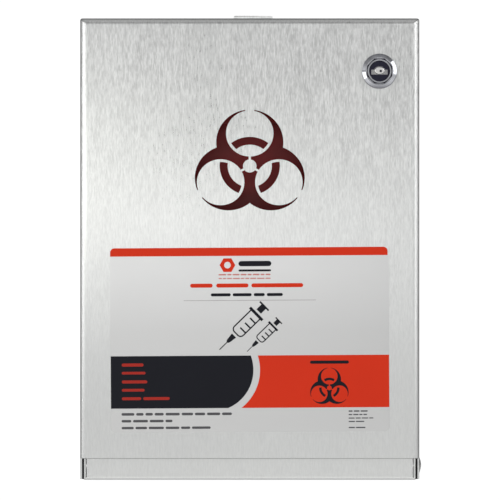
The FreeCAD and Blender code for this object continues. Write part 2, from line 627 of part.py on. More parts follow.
def container_lid():
    """Snap-on lid: deck, skirt, mouth hole and the rails that park the shutter."""
    deck_low = RIM_TOP + GASKET
    outer = slab(grown(TUB_TOP, LID_OUT), SKIRT_LOW, DECK_TOP)
    outer = outer.makeFillet(LID_ROUND, edges_at(outer, z=DECK_TOP))
    lid = outer.cut(slab(grown(TUB_TOP, LID_OUT - SKIRT_WALL), SKIRT_LOW - 1, deck_low))
    lid = lid.cut(rod_z(MOUTH_R, deck_low - 1, DECK_TOP + 1, 0, CONTAINER_Y))
    wall, overhang, thick = RAIL
    web = SHUTTER_HALF_Y + RAIL_ROOM[0]
    roof = DECK_TOP + SHUTTER_THICK + RAIL_ROOM[1]
    for side in (-1, 1):
        upright = sorted((CONTAINER_Y + side * web, CONTAINER_Y + side * (web + wall)))
        over = sorted((CONTAINER_Y + side * (SHUTTER_HALF_Y - overhang), CONTAINER_Y + side * (web + wall)))
        lid = lid.fuse(box(RAIL_X, upright, (DECK_TOP - 0.5, roof + thick)))
        lid = lid.fuse(box(RAIL_X, over, (roof, roof + thick)))
    return lid.removeSplitter()


def mouth_collar():
    """Block that holds the shutter's slot, with the round neck on top."""
    half_x, half_y = NECK_R, COLLAR_HALF_Y
    block = box((-half_x, half_x), (CONTAINER_Y - half_y, CONTAINER_Y + half_y), (DECK_TOP, COLLAR_TOP))
    slot = SHUTTER_HALF_Y + 0.3
    block = block.cut(box((-BIG, BIG), (CONTAINER_Y - slot, CONTAINER_Y + slot),
                          (DECK_TOP, DECK_TOP + SHUTTER_THICK + 0.6)))
    neck = rod_z(NECK_R, COLLAR_TOP - 2, NECK_TOP, 0, CONTAINER_Y)
    collar = block.fuse(neck).cut(rod_z(NECK_R - NECK_WALL, 0, BIG, 0, CONTAINER_Y)).removeSplitter()
    return collar.makeFillet(0.8, edges_at(collar, z=NECK_TOP))


def mouth_shutter():
    """Sliding plate with a finger rib."""
    z0 = DECK_TOP + 0.3
    half_rib, rib, rise = 20.0, 3.0, 5.0
    plate = box(SHUTTER_OPEN_X, (CONTAINER_Y - SHUTTER_HALF_Y, CONTAINER_Y + SHUTTER_HALF_Y),
                (z0, z0 + SHUTTER_THICK))
    end = SHUTTER_OPEN_X[1]
    grip = box((end - rib, end), (CONTAINER_Y - half_rib, CONTAINER_Y + half_rib),
               (z0 + SHUTTER_THICK - 0.5, z0 + SHUTTER_THICK + rise))
    grip = grip.makeFillet(1.2, edges_at(grip, z=z0 + SHUTTER_THICK + rise))
    return plate.fuse(grip).removeSplitter()


def build():
    keep("back_housing", back_housing())
    keep("hanging_tab", hanging_tab())
    keep("container_stop", container_stop())
    keep("lock_strike", lock_strike())
    keep("cover_bumpers", *cover_bumpers())
    keep("hinge_pin_left", flush_pin())
    keep("hinge_pin_right", domed_pin())
    keep("hinge_spacer_left", hinge_spacer(-1))
    keep("hinge_spacer_right", hinge_spacer(1))
    keep("front_cover", front_cover())
    keep("front_label", front_label())
    keep("drop_chute", drop_chute())
    keep("chute_ring", chute_ring())
    keep("lock_body", lock_body())
    keep("lock_washer", lock_washer())
    keep("lock_nut", lock_nut())
    keep("lock_plug", lock_plug())
    keep("lock_wafers", *lock_wafers())
    keep("key_flap", key_flap())
    keep("plug_clip", plug_clip())
    keep("lock_cam", lock_cam())
    keep("cam_washer", cam_washer())
    keep("cam_screw", cam_screw())
    keep("container_body", container_body())
    keep("lid_gasket", lid_gasket())
    keep("container_lid", container_lid())
    keep("mouth_collar", mouth_collar())
    keep("mouth_shutter", mouth_shutter())


def main():
    build()
    os.makedirs("parts", exist_ok=True)
    for name, shape in PARTS.items():
        shape.exportStep(os.path.join("parts", name + ".step"))
        print(name, "valid" if shape.isValid() else "NOT VALID", len(shape.Solids), "solid(s)",
              round(shape.Volume / 1000, 2), "cm3")


main()
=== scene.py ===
import json
import math
import random

import bmesh
import bpy
from mathutils import Matrix, Vector


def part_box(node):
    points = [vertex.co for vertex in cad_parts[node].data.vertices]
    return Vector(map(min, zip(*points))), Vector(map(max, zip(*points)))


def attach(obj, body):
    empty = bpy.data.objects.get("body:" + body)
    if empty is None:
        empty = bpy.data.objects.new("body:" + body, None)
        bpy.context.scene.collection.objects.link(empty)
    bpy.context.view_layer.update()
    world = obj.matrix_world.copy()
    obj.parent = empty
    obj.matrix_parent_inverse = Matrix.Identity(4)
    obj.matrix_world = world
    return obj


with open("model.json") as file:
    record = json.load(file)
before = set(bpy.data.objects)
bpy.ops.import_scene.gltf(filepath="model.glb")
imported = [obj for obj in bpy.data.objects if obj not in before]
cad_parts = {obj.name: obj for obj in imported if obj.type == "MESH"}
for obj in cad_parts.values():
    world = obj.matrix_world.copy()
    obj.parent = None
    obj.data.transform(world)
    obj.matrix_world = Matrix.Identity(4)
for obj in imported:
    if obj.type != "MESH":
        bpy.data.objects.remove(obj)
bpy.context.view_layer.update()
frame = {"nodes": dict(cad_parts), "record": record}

# A locking steel sharps cabinet: brushed sheet, a cam lock, a printed label and a plastic container.
# Metres.  +Z is up and -Y is the front.

MM = 0.001
RANDOM = random.Random(7)
PANEL_LOW = -133.1 * MM  # lower edge of the cover's front panel


# ---- node helpers ----------------------------------------------------------
class Shader:
    """A material under construction, with short calls for the nodes it is made of."""

    def __init__(self, name):
        self.material = bpy.data.materials.new(name)
        self.material.use_nodes = True
        self.tree = self.material.node_tree
        self.bsdf = self.tree.nodes["Principled BSDF"]
        self.place = self.add("ShaderNodeTexCoord").outputs["Object"]

    def add(self, kind, **settings):
        node = self.tree.nodes.new(kind)
        for key, value in settings.items():
            setattr(node, key, value)
        return node

    def link(self, source, socket):
        self.tree.links.new(source, socket)

    def feed(self, socket, value):
        """Links a node's output, or sets a plain number or colour."""
        if isinstance(value, bpy.types.NodeSocket):
            self.link(value, socket)
        else:
            socket.default_value = value

    def part(self, vector, name):
        """One component of a vector: X, Y or Z."""
        node = self.add("ShaderNodeSeparateXYZ")
        self.link(vector, node.inputs["Vector"])
        return node.outputs[name]

    def axis(self, name):
        """One coordinate of the place on the object."""
        return self.part(self.place, name)

    def scaled(self, x, y, z):
        """The place on the object, stretched along each axis."""
        node = self.add("ShaderNodeMapping")
        node.inputs["Scale"].default_value = (x, y, z)
        self.link(self.place, node.inputs["Vector"])
        return node.outputs["Vector"]

    def noise(self, vector, detail, roughness):
        """Noise whose grain is set by how the vector was stretched."""
        node = self.add("ShaderNodeTexNoise")
        node.inputs["Scale"].default_value = 1.0
        node.inputs["Detail"].default_value = detail
        node.inputs["Roughness"].default_value = roughness
        self.link(vector, node.inputs["Vector"])
        return node.outputs["Fac"]

    def mottle(self, density, detail, roughness=0.5):
        """Noise that is as dense in every direction."""
        return self.noise(self.scaled(density, density, density), detail, roughness)

    def ramp(self, value, low, high, out_low=0.0, out_high=1.0):
        """A value stretched from one range to another, and held at its ends."""
        node = self.add("ShaderNodeMapRange")
        self.link(value, node.inputs["Value"])
        for name, number in (("From Min", low), ("From Max", high),
                             ("To Min", out_low), ("To Max", out_high)):
            node.inputs[name].default_value = number
        return node.outputs["Result"]

    def math(self, operation, a, b=0.0):
        node = self.add("ShaderNodeMath", operation=operation)
        self.feed(node.inputs[0], a)
        self.feed(node.inputs[1], b)
        return node.outputs["Value"]

    def mix(self, factor, a, b):
        """Mix of two colours."""
        node = self.add("ShaderNodeMix", data_type="RGBA")
        self.feed(node.inputs["Factor"], factor)
        for name, value in (("A", a), ("B", b)):
            socket = [s for s in node.inputs if s.name == name and s.type == "RGBA"][0]
            self.feed(socket, value if isinstance(value, bpy.types.NodeSocket) else (*value, 1.0))
        return [s for s in node.outputs if s.type == "RGBA"][0]

    def mix_vectors(self, factor, a, b):
        """Mix of two linked vectors."""
        node = self.add("ShaderNodeMix", data_type="VECTOR")
        self.feed(node.inputs["Factor"], factor)
        for name, value in (("A", a), ("B", b)):
            self.link(value, [s for s in node.inputs if s.name == name and s.type == "VECTOR"][0])
        return [s for s in node.outputs if s.type == "VECTOR"][0]

    def bump(self, height, strength, distance):
        """Relief from a height map, with the distance in metres."""
        node = self.add("ShaderNodeBump")
        node.inputs["Strength"].default_value = strength
        node.inputs["Distance"].default_value = distance
        self.link(height, node.inputs["Height"])
        self.link(node.outputs["Normal"], self.bsdf.inputs["Normal"])

    def set(self, **values):
        """Principled inputs by name, with underscores for spaces."""
        for key, value in values.items():
            socket = self.bsdf.inputs[key.replace("_", " ")]
            if socket.type == "RGBA" and isinstance(value, tuple):
                value = (*value, 1.0)
            self.feed(socket, value)


def times(colour, factor):
    """A colour made darker or lighter."""
    return tuple(c * factor for c in colour)


# ---- brushed steel ---------------------------------------------------------
STEEL_TINT = (0.993, 1.004, 0.991)
STEEL_GRAINS = ((1500, 260, 0.72), (700, 60, 0.18), (90, 12, 0.10))  # density across, along, and weight
STEEL_ANISOTROPY = 0.8
FACES_UP = 0.7           # how far a normal leans to the vertical on a top or a floor
WORN_HEIGHTS = (-70 * MM, 60 * MM)       # the grain is wiped smoother towards the bottom
WORN_LEAST = 0.30        # what is left of it there
EDGE_SHADE_TONE = 0.22      # painted shade on lines along edges
PANEL_SHADOW_LINE = 0.25 * MM                # height of the panel's painted shadow line
TAB_SHADE_LINE = 0.6 * MM   # and of the tab's painted shade line
TAB_SHADE_FADE = (-13 * MM, -6 * MM, 0.55, 0.12)           # from and to, off its right edge, and how strong


def brushed_steel(name, tone, spread, roughness, edge_shade=None):
    """Stainless sheet with a fine grain that runs up the sides and front to back over the top, and painted
    shade on a line where a mask puts it.
    """
    s = Shader(name)
    normal = s.add("ShaderNodeTexCoord").outputs["Normal"]
    flat = s.math("GREATER_THAN", s.math("ABSOLUTE", s.part(normal, "Z")), FACES_UP)

    def grain(across, along):
        up = s.scaled(across, across, along)
        over = s.scaled(across, along, across)
        return s.noise(s.mix_vectors(flat, up, over), 2.0, 0.6)

    grains = [grain(across, along) for across, along, _ in STEEL_GRAINS]
    weighted = [s.math("MULTIPLY", made, weight) for made, (_, _, weight) in zip(grains, STEEL_GRAINS)]
    total = s.math("ADD", s.math("ADD", weighted[0], weighted[1]), weighted[2])
    worn = s.ramp(s.axis("Z"), *WORN_HEIGHTS, WORN_LEAST, 1.0)
    streak = s.math("ADD", s.math("MULTIPLY", s.ramp(total, 0.36, 0.64, -0.5, 0.5), worn), 0.5)
    colour = s.mix(streak, times(STEEL_TINT, tone - spread), times(STEEL_TINT, tone + spread))
    if edge_shade is not None:
        # painted shade: the masked line is darkened to a dark steel tone
        colour = s.mix(edge_shade(s), colour, times(STEEL_TINT, EDGE_SHADE_TONE))
    cloud = s.noise(s.scaled(14, 14, 9), 2.0, 0.5)
    s.set(Base_Color=colour, Metallic=1.0, Anisotropic=STEEL_ANISOTROPY,
          Roughness=s.ramp(s.math("ADD", streak, cloud), 0.4, 1.5, roughness - 0.04, roughness + 0.06))
    tangent = s.add("ShaderNodeTangent", direction_type="RADIAL", axis="Z")
    s.link(tangent.outputs["Tangent"], s.bsdf.inputs["Tangent"])
    s.bump(s.math("MULTIPLY", grains[1], worn), 0.10, 0.10 * MM)
    return s.material


def panel_edge_painted_shadow(s):
    """1 on the painted shadow line along the front panel's lower edge, and 0 elsewhere."""
    near_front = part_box("front_cover")[0].y + 2 * MM
    return s.math("MULTIPLY", s.math("LESS_THAN", s.axis("Z"), PANEL_LOW + PANEL_SHADOW_LINE),
                  s.math("LESS_THAN", s.axis("Y"), near_front))


def tab_edge_painted_shade(s):
    """Painted shade along the hanging tab's top edge, fading out to the right."""
    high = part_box("hanging_tab")[1]
    start, end, strong, weak = TAB_SHADE_FADE
    painted_shade = s.ramp(s.axis("X"), high.x + start, high.x + end, strong, weak)
    return s.math("MULTIPLY", painted_shade, s.math("GREATER_THAN", s.axis("Z"), high.z - TAB_SHADE_LINE))


# ---- other metal, and the lock's painted shade -----------------------------
# colour of the painted shade on the lock
LOCK_SHADE_COLOUR = (0.05, 0.05, 0.065)
BEZEL_LOW, BEZEL_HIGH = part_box("lock_body")
BEZEL_R = (BEZEL_HIGH.x - BEZEL_LOW.x) / 2
LOCK_CENTRE = (BEZEL_LOW + BEZEL_HIGH) / 2
PLUG_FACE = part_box("lock_plug")[0].y
GROOVE_OUT = 8.7 * MM    # outer radius of the bezel's groove
GROOVE_START = 0.25 * MM                 # how far behind the bezel's face its painted shade starts
BEZEL_ENDS = (5.5 * MM, 11 * MM, 0.0, 0.75)          # from and to, above or below the axis, and how strong
RIM_WIDTH = 0.4 * MM
RIM_FADE = (-8 * MM, 4 * MM, 0.75, 0.15)             # from and to, above the axis, and how strong
FLAP_DEEP = (0.3 * MM, 0.9 * MM, 0.0, 0.55)          # from and to, behind the plug's face, and how strong
PEEPHOLE = (0.8 * MM, 1.0 * MM)          # hole in the flap's boss: distance right of the axis, radius


def satin_metal(name, colour, roughness):
    """Pressed, zinc plated or turned metal, with fine mottling."""
    s = Shader(name)
    mottle = s.mottle(900, 3.0, 0.6)
    cloud = s.mottle(130, 3.0)
    s.set(Base_Color=s.mix(s.ramp(cloud, 0.35, 0.65), times(colour, 0.84), colour), Metallic=1.0,
          Roughness=s.ramp(mottle, 0.3, 0.7, roughness - 0.05, roughness + 0.08))
    s.bump(mottle, 0.1, 0.08 * MM)
    return s.material


def chrome(name, colour, roughness, shade_mask=None):
    """Plated and polished, with faint wipe marks, and with painted shade where a mask puts it."""
    s = Shader(name)
    marks = s.noise(s.scaled(300, 300, 60), 4.0, 0.6)
    if shade_mask is not None:
        # painted shade: the mask darkens the chrome towards a near-black colour
        colour = s.mix(shade_mask(s), colour, LOCK_SHADE_COLOUR)
    s.set(Base_Color=colour, Metallic=1.0, Roughness=s.ramp(marks, 0.35, 0.7, roughness, roughness + 0.08))
    s.bump(marks, 0.04, 0.05 * MM)
    return s.material


def lock_radius(s, right=0.0):
    """Distance from the lock's axis, or from a line to the right of it."""
    moved = s.add("ShaderNodeVectorMath", operation="SUBTRACT")
    s.link(s.place, moved.inputs[0])
    moved.inputs[1].default_value = (LOCK_CENTRE.x + right, 0, LOCK_CENTRE.z)
    level = s.add("ShaderNodeVectorMath", operation="MULTIPLY")
    s.link(moved.outputs["Vector"], level.inputs[0])
    level.inputs[1].default_value = (1, 0, 1)
    length = s.add("ShaderNodeVectorMath", operation="LENGTH")
    s.link(level.outputs["Vector"], length.inputs[0])
    return length.outputs["Value"]


def depth_behind(s, face):
    return s.math("SUBTRACT", s.axis("Y"), face)


def bezel_painted_shade(s):
    """Painted shade in the bezel's groove and bore, fainter painted shade at its top and bottom where dark
    surroundings would show, and a painted contact shadow along its lower rim.
    """
    radius = lock_radius(s)
    height = s.math("SUBTRACT", s.axis("Z"), LOCK_CENTRE.z)
    groove = s.math("MULTIPLY", s.math("LESS_THAN", radius, GROOVE_OUT),
                    s.math("GREATER_THAN", depth_behind(s, BEZEL_LOW.y), GROOVE_START))
    ends = s.math("MULTIPLY", s.math("GREATER_THAN", radius, GROOVE_OUT),
                  s.ramp(s.math("ABSOLUTE", height), *BEZEL_ENDS))
    rim = s.math("MULTIPLY", s.math("GREATER_THAN", radius, BEZEL_R - RIM_WIDTH), s.ramp(height, *RIM_FADE))
    return s.math("MAXIMUM", groove, s.math("MAXIMUM", ends, rim))


def flap_painted_shade(s):
    """Painted shade, deeper round the boss, and black in its small hole."""
    right, radius = PEEPHOLE
    depth = depth_behind(s, PLUG_FACE)
    hole = s.math("MULTIPLY", s.math("LESS_THAN", lock_radius(s, right), radius),
                  s.math("GREATER_THAN", depth, FLAP_DEEP[0]))
    return s.math("MAXIMUM", s.ramp(depth, *FLAP_DEEP), hole)


# ---- plastic and film ------------------------------------------------------
LABEL_SHADE_HEIGHTS = (-52 * MM, -12 * MM)      # painted shade: the label film darkens downwards between these
SCATTER = (4 * MM, 1 * MM, 1 * MM)       # how far red, green and blue light spread inside plastic


def plastic(name, colour, roughness, grain=0.1, depth=0.25, translucency=0.0, shine=0.5):
    """Moulded plastic with a fine spark-eroded grain and slow colour drift."""
    s = Shader(name)
    fine = s.mottle(1600, 2.0)
    drift = s.mottle(22, 3.0)
    s.set(Base_Color=s.mix(s.ramp(drift, 0.3, 0.7), times(colour, 1 - depth), colour),
          Roughness=s.ramp(fine, 0.3, 0.7, roughness - 0.06, roughness + 0.08),
          Subsurface_Weight=translucency, Subsurface_Radius=SCATTER, Specular_IOR_Level=shine)
    s.bump(fine, grain, 0.1 * MM)
    return s.material


def film(name, colour, metallic, roughness, drift, shine=0.5, painted_shade=None):
    """Printed film with the faint unevenness of ink on foil, and with painted shade darker lower down if
    asked for.
    """
    s = Shader(name)
    cloud = s.mottle(35, 2.0)
    fine = s.mottle(700, 2.0)
    shade = s.mix(s.ramp(cloud, 0.3, 0.7), times(colour, 1 - drift), colour)
    # painted shade, darker towards the bottom of the label
    if painted_shade is not None:
        shade = s.mix(s.ramp(s.axis("Z"), *LABEL_SHADE_HEIGHTS), times(colour, painted_shade), shade)
    s.set(Base_Color=shade, Metallic=metallic, Specular_IOR_Level=shine,
          Roughness=s.ramp(fine, 0.3, 0.7, roughness - 0.01, roughness + 0.01))
    s.bump(cloud, 0.05, 0.3 * MM)
    return s.material


# ---- one material for each slot, and two for pieces unlike the rest of their slot
MATERIALS = {
    "housing_steel": brushed_steel("housing_brushed_steel", 0.665, 0.09, 0.34),
    "cover_steel": brushed_steel("cover_brushed_steel", 0.66, 0.088, 0.31, panel_edge_painted_shadow),
    "pin_steel": satin_metal("pin_satin_steel", (0.86, 0.86, 0.85), 0.36),
    # painted shade: the spacer is made near black so that it fills the hinge gap with the shade seen deep
    # in it
    "spacer_nylon": plastic("spacer_black_gap_shade", (0.006, 0.006, 0.007), 0.8),
    "bumper_rubber": plastic("bumper_black_rubber", (0.02, 0.02, 0.02), 0.7, 0.2),
    "label_film": film("label_silver_film", (0.655, 0.656, 0.652), 0.9, 0.29, 0.02, painted_shade=0.88),
    "chute_steel": satin_metal("chute_satin_steel", (0.58, 0.58, 0.57), 0.30),
    "lock_chrome": chrome("lock_chrome", (0.69, 0.70, 0.74), 0.07, bezel_painted_shade),
    "lock_zinc": satin_metal("lock_zinc_plate", (0.50, 0.51, 0.54), 0.32),
    "plug_dark": chrome("plug_dark_chrome", (0.035, 0.035, 0.055), 0.16),
    "wafer_brass": satin_metal("wafer_brass", (0.72, 0.52, 0.22), 0.3),
    "container_red": plastic("container_translucent_red", (0.30, 0.008, 0.009), 0.38, 0.08, 0.2,
                             translucency=0.15, shine=0.36),
    "lid_red": plastic("lid_red", (0.36, 0.011, 0.010), 0.42, 0.12, 0.15),
    "gasket_grey": plastic("gasket_grey_foam", (0.10, 0.10, 0.105), 0.85, 0.5),
    "shutter_white": plastic("shutter_white", (0.72, 0.71, 0.68), 0.42, 0.1, 0.08),
}

OWN_MATERIALS = {
    "key_flap": chrome("flap_chrome", (0.84, 0.83, 0.82), 0.18, flap_painted_shade),
    # painted highlight: the tab's steel gets a much lighter tone than the sheet around it, standing in for
    # its bright reflection
    "hanging_tab": brushed_steel("tab_steel_painted_highlight", 0.93, 0.04, 0.36, tab_edge_painted_shade),
}

for row in frame["record"]["subparts"]:
    mesh = frame["nodes"][row["node"]].data
    mesh.materials.clear()
    mesh.materials.append(OWN_MATERIALS.get(row["node"], MATERIALS[row["material_slot"]]))


# ---- print on the label ----------------------------------------------------
# Distances on the label are in millimetres from its centre: right, then up.
film_low, film_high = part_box("front_label")
LABEL_CENTRE = (film_low + film_high) / 2
LABEL_FACE = film_low.y
LABEL_TILT = math.radians(-0.35)         # as stuck on by hand
HALF_WIDTH = 88.6        # of the film
HALF_HEIGHT = 58.65
INK_THICK = 0.05 * MM
INK_SHINE = 0.16
INKS = {
    "red": film("ink_red", (0.60, 0.026, 0.004), 0.0, 0.36, 0.03, INK_SHINE),
    "black": film("ink_black", (0.004, 0.0045, 0.009), 0.0, 0.34, 0.1, INK_SHINE),
    "dull_red": film("ink_dull_red", (0.36, 0.020, 0.012), 0.0, 0.36, 0.05, INK_SHINE),
    "grey": film("ink_dark_grey", (0.085, 0.085, 0.09), 0.0, 0.4, 0.1, INK_SHINE),
    "rule": film("ink_rule_grey", (0.36, 0.34, 0.35), 0.0, 0.4, 0.1, INK_SHINE),
    "pink": film("ink_pale_red", (0.55, 0.22, 0.20), 0.0, 0.4, 0.1, INK_SHINE),
}


class Ink:
    """All the shapes printed in one colour, gathered into one thin mesh."""

    def __init__(self, name, colour, layers=1):
        self.name = name
        self.colour = colour
        self.layers = layers     # 2 for print that lies over other print
        self.outlines = []

    def shape(self, points):
        self.outlines.append([Vector((u, w)) for u, w in points])

    def mesh_object(self):
        """One closed plate for each outline, turned with the label."""
        mesh = bpy.data.meshes.new(self.name)
        bm = bmesh.new()
        thick = self.layers * INK_THICK
        for outline in self.outlines:
            verts = [bm.verts.new((p.x * MM, LABEL_FACE - thick, p.y * MM)) for p in outline]
            made = bmesh.ops.extrude_face_region(bm, geom=[bm.faces.new(verts)])
            moved = [v for v in made["geom"] if isinstance(v, bmesh.types.BMVert)]
            bmesh.ops.translate(bm, verts=moved, vec=(0, thick, 0))
        bmesh.ops.recalc_face_normals(bm, faces=bm.faces)
        bm.to_mesh(mesh)
        bm.free()
        centre = Matrix.Translation((LABEL_CENTRE.x, 0, LABEL_CENTRE.z))
        mesh.transform(centre @ Matrix.Rotation(LABEL_TILT, 4, "Y"))
        piece = bpy.data.objects.new(self.name, mesh)
        bpy.context.scene.collection.objects.link(piece)
        return piece

    def finish(self):
        dress(self.mesh_object(), self.colour)


def dress(piece, colour):
    piece.data.materials.clear()
    piece.data.materials.append(INKS[colour])
    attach(piece, "cover")


def arc(cu, cw, r, start, end, steps):
    """Points on an arc, from start to end in degrees."""
    angles = [math.radians(start + (end - start) * k / steps) for k in range(steps + 1)]
    return [(cu + r * math.cos(a), cw + r * math.sin(a)) for a in angles]


WORD_GAP = 0.42          # between bars, as a share of the line's height
BAR_HEIGHT = 0.62        # of a bar, as the same share
SHORT_WORDS = (1.6, 4.2)                 # shortest and longest word, as the same share
LONG_WORDS = (2.5, 5.0)
ONE_BAR = (9, 9)         # long enough for a line that is a single bar


def words(ink, u0, u1, w0, w1, lengths=SHORT_WORDS):
    """A line of print as plain bars with round ends, one for each word."""
    line = w1 - w0
    r = BAR_HEIGHT * line / 2
    middle = (w0 + w1) / 2
    low, high = lengths
    u = u0
    while u < u1 - line:
        end = u + line * RANDOM.uniform(low, high)
        if end > u1 - (low + WORD_GAP) * line:
            end = u1
        ink.shape(arc(u + r, middle, r, 90, 270, 8) + arc(end - r, middle, r, -90, 90, 8))
        u = end + WORD_GAP * line


red = Ink("label_red_print", "red")
black = Ink("label_black_print", "black")
grey = Ink("label_grey_print", "grey")
rule = Ink("label_rule", "rule")
pink = Ink("label_pale_print", "pink")
on_black = Ink("label_list_on_black", "dull_red", 2)
on_red = Ink("label_word_on_red", "black", 2)

# the band along the top, with its rounded corners
EDGE = 0.15              # bare film round the print
TOP_BAND_LOW = 53.25
TOP_BAND_RIGHT = 87.9
TOP_BAND_CORNERS = (2.8, 2.6)            # radius at the left and at the right
left, top = EDGE - HALF_WIDTH, HALF_HEIGHT - EDGE
corner_left, corner_right = TOP_BAND_CORNERS
red.shape([(left, TOP_BAND_LOW), (TOP_BAND_RIGHT, TOP_BAND_LOW)]
          + arc(TOP_BAND_RIGHT - corner_right, top - corner_right, corner_right, 0, 90, 8)
          + arc(left + corner_left, top - corner_left, corner_left, 90, 180, 8))

# the two lower bands, parted by an arc-shaped gap
BAND_LOW, BAND_HIGH = -43.4, -10.1
GAP_CENTRE = (-24.0, -19.2)
GAP_IN, GAP_OUT = 26.2, 30.4


def gap_side(r):
    """One side of the gap, from the foot of the bands up to their top."""
    start, end = (math.degrees(math.asin((w - GAP_CENTRE[1]) / r)) for w in (BAND_LOW, BAND_HIGH))
    return arc(*GAP_CENTRE, r, start, end, 20)


black.shape([(left, BAND_HIGH), (left, BAND_LOW)] + gap_side(GAP_IN))
red.shape([(-left, BAND_LOW), (-left, BAND_HIGH)] + gap_side(GAP_OUT)[::-1])

# the maker's corner: a plain hexagon with a round hole, and bars beside and below it
EMBLEM = (-13.9, 47.4)
EMBLEM_R = 5.0
EMBLEM_HOLE = 2.1
for half in (0, 180):
    hexagon = arc(*EMBLEM, EMBLEM_R, half, half + 180, 3)
    red.shape(hexagon + arc(*EMBLEM, EMBLEM_HOLE, half + 180, half, 16))
words(black, -6.9, 14.0, 45.6, 51.0, ONE_BAR)
words(black, -6.9, 13.8, 42.9, 45.0, ONE_BAR)
words(pink, -19.6, 13.5, 40.6, 42.1)
words(pink, -19.6, 13.5, 38.3, 39.5)

# two centred lines of print and the rule below them
for u0, u1 in ((-37.7, -23.4), (-21.1, -0.6), (1.2, 34.2)):
    words(red, u0, u1, 32.4, 36.5, ONE_BAR)
for u0, u1 in ((-24.6, -11.9), (-10.7, 1.4), (2.7, 9.7), (11.0, 21.2)):
    words(black, u0, u1, 27.0, 30.1, ONE_BAR)
rule.shape([(-41.9, 24.8), (42.2, 24.8), (42.2, 25.15), (-41.9, 25.15)])

# the list on the black band, the notes below it, the small print, and the word over the small trefoil
for end, w0, w1 in ((-67.6, -17.3, -14.1), (-66.4, -22.2, -19.5), (-65.3, -28.0, -24.9),
                    (-67.0, -33.1, -30.3), (-51.1, -38.6, -35.6)):
    words(on_black, -81.5, end, w0, w1, LONG_WORDS)
for end, w0, w1 in ((-11.6, -48.4, -45.7), (-49.4, -52.7, -50.1), (-25.2, -57.0, -54.5)):
    words(grey, -81.8, end, w0, w1)
for end, w0, w1 in ((74.7, -46.5, -45.1), (74.3, -48.6, -47.4), (78.3, -50.8, -49.7), (72.5, -53.0, -51.8),
                    (73.2, -56.9, -55.6)):
    words(grey, 62.5, end, w0, w1)
words(on_red, 38.2, 62.9, -16.2, -13.0, ONE_BAR)


# ---- pictures on the label -------------------------------------------------
# A syringe is measured from its needle's tip, along it and across it.
SYRINGE_TURN = math.radians(43.9)
NEEDLE = (6.9, 0.32)     # length, half width
HUB = ((6.9, 0.8), (8.4, 1.3), (12.9, 1.85))         # along, half width
BARREL = (14.35, 32.0, 4.45, 2.9)        # from, to, half width and corner radius
TICKS = (19.3, 23.6, 28.0)
TICK_END = 0.9
TICK_WEIGHT = 0.6        # half its width, as a share of the line's
SOLIDS = ((31.7, 33.5, 5.7), (34.8, 39.4, 2.0), (39.2, 40.3, 4.0))   # flange, rod, thumb rest: half widths


def syringe(ink, tip, scale, line):
    """A syringe, needle down to the left, with its barrel drawn in outline."""
    along = Vector((math.cos(SYRINGE_TURN), math.sin(SYRINGE_TURN))) * scale
    across = Vector((-along.y, along.x))

    def put(s, t):
        return Vector(tip) + along * s + across * t

    def block(s0, s1, t0, t1):
        ink.shape([put(s0, t0), put(s1, t0), put(s1, t1), put(s0, t1)])

    length, half = NEEDLE
    block(0, length, -half, half)
    ink.shape([put(s, -t) for s, t in HUB] + [put(s, t) for s, t in HUB[::-1]])
    start, end, half, corner = BARREL
    inner = half - line
    turns = [math.radians(90 * k / 8) for k in range(9)]
    for side in (-1, 1):
        block(start + corner, end, *sorted((side * inner, side * half)))
        outside, inside = ([put(start + corner - r * math.cos(a), side * (half - corner + r * math.sin(a)))
                            for a in turns] for r in (corner, corner - line))
        ink.shape(outside + inside[::-1])
    block(start, start + line, corner - half, half - corner)
    for s in TICKS:
        block(s - TICK_WEIGHT * line, s + TICK_WEIGHT * line, -inner, TICK_END)
    for start, end, half in SOLIDS:
        block(start, end, -half, half)


syringe(black, (-19.3, -6.3), 1.0, 0.85)
syringe(black, (-1.8, -7.6), 0.71, 0.98)


DISC_SIDES = 64


def disc(cu, cw, r):
    return arc(cu, cw, r, 0, 360 - 360 / DISC_SIDES, DISC_SIDES - 1)


def strip(cu, cw, start, end, width, turn):
    """Corners of a bar that runs outward from a centre."""
    a = math.radians(turn)
    along, across = Vector((math.cos(a), math.sin(a))), Vector((-math.sin(a), math.cos(a)))
    corners = ((start, -width / 2), (end, -width / 2), (end, width / 2), (start, width / 2))
    return [Vector((cu, cw)) + along * d + across * w for d, w in corners]


ARMS = (90, 210, 330)    # where its three arms point, in degrees
OUTER = (11, 15)         # a horn's outer disc: distance out and radius, in the symbol's own unit
HOLLOW = (15, 10.6)      # and the disc cut out of it
CENTRE_SLOT = (0, 6, 1.3)                # from, to, width: parts the horns near the middle
TIP_GAP = (15, 28, 4)    # and parts their tips
CENTRE_HOLE = 3
RING = ((13.1, 31), (10, 34))            # outside and inside: radius and half angle


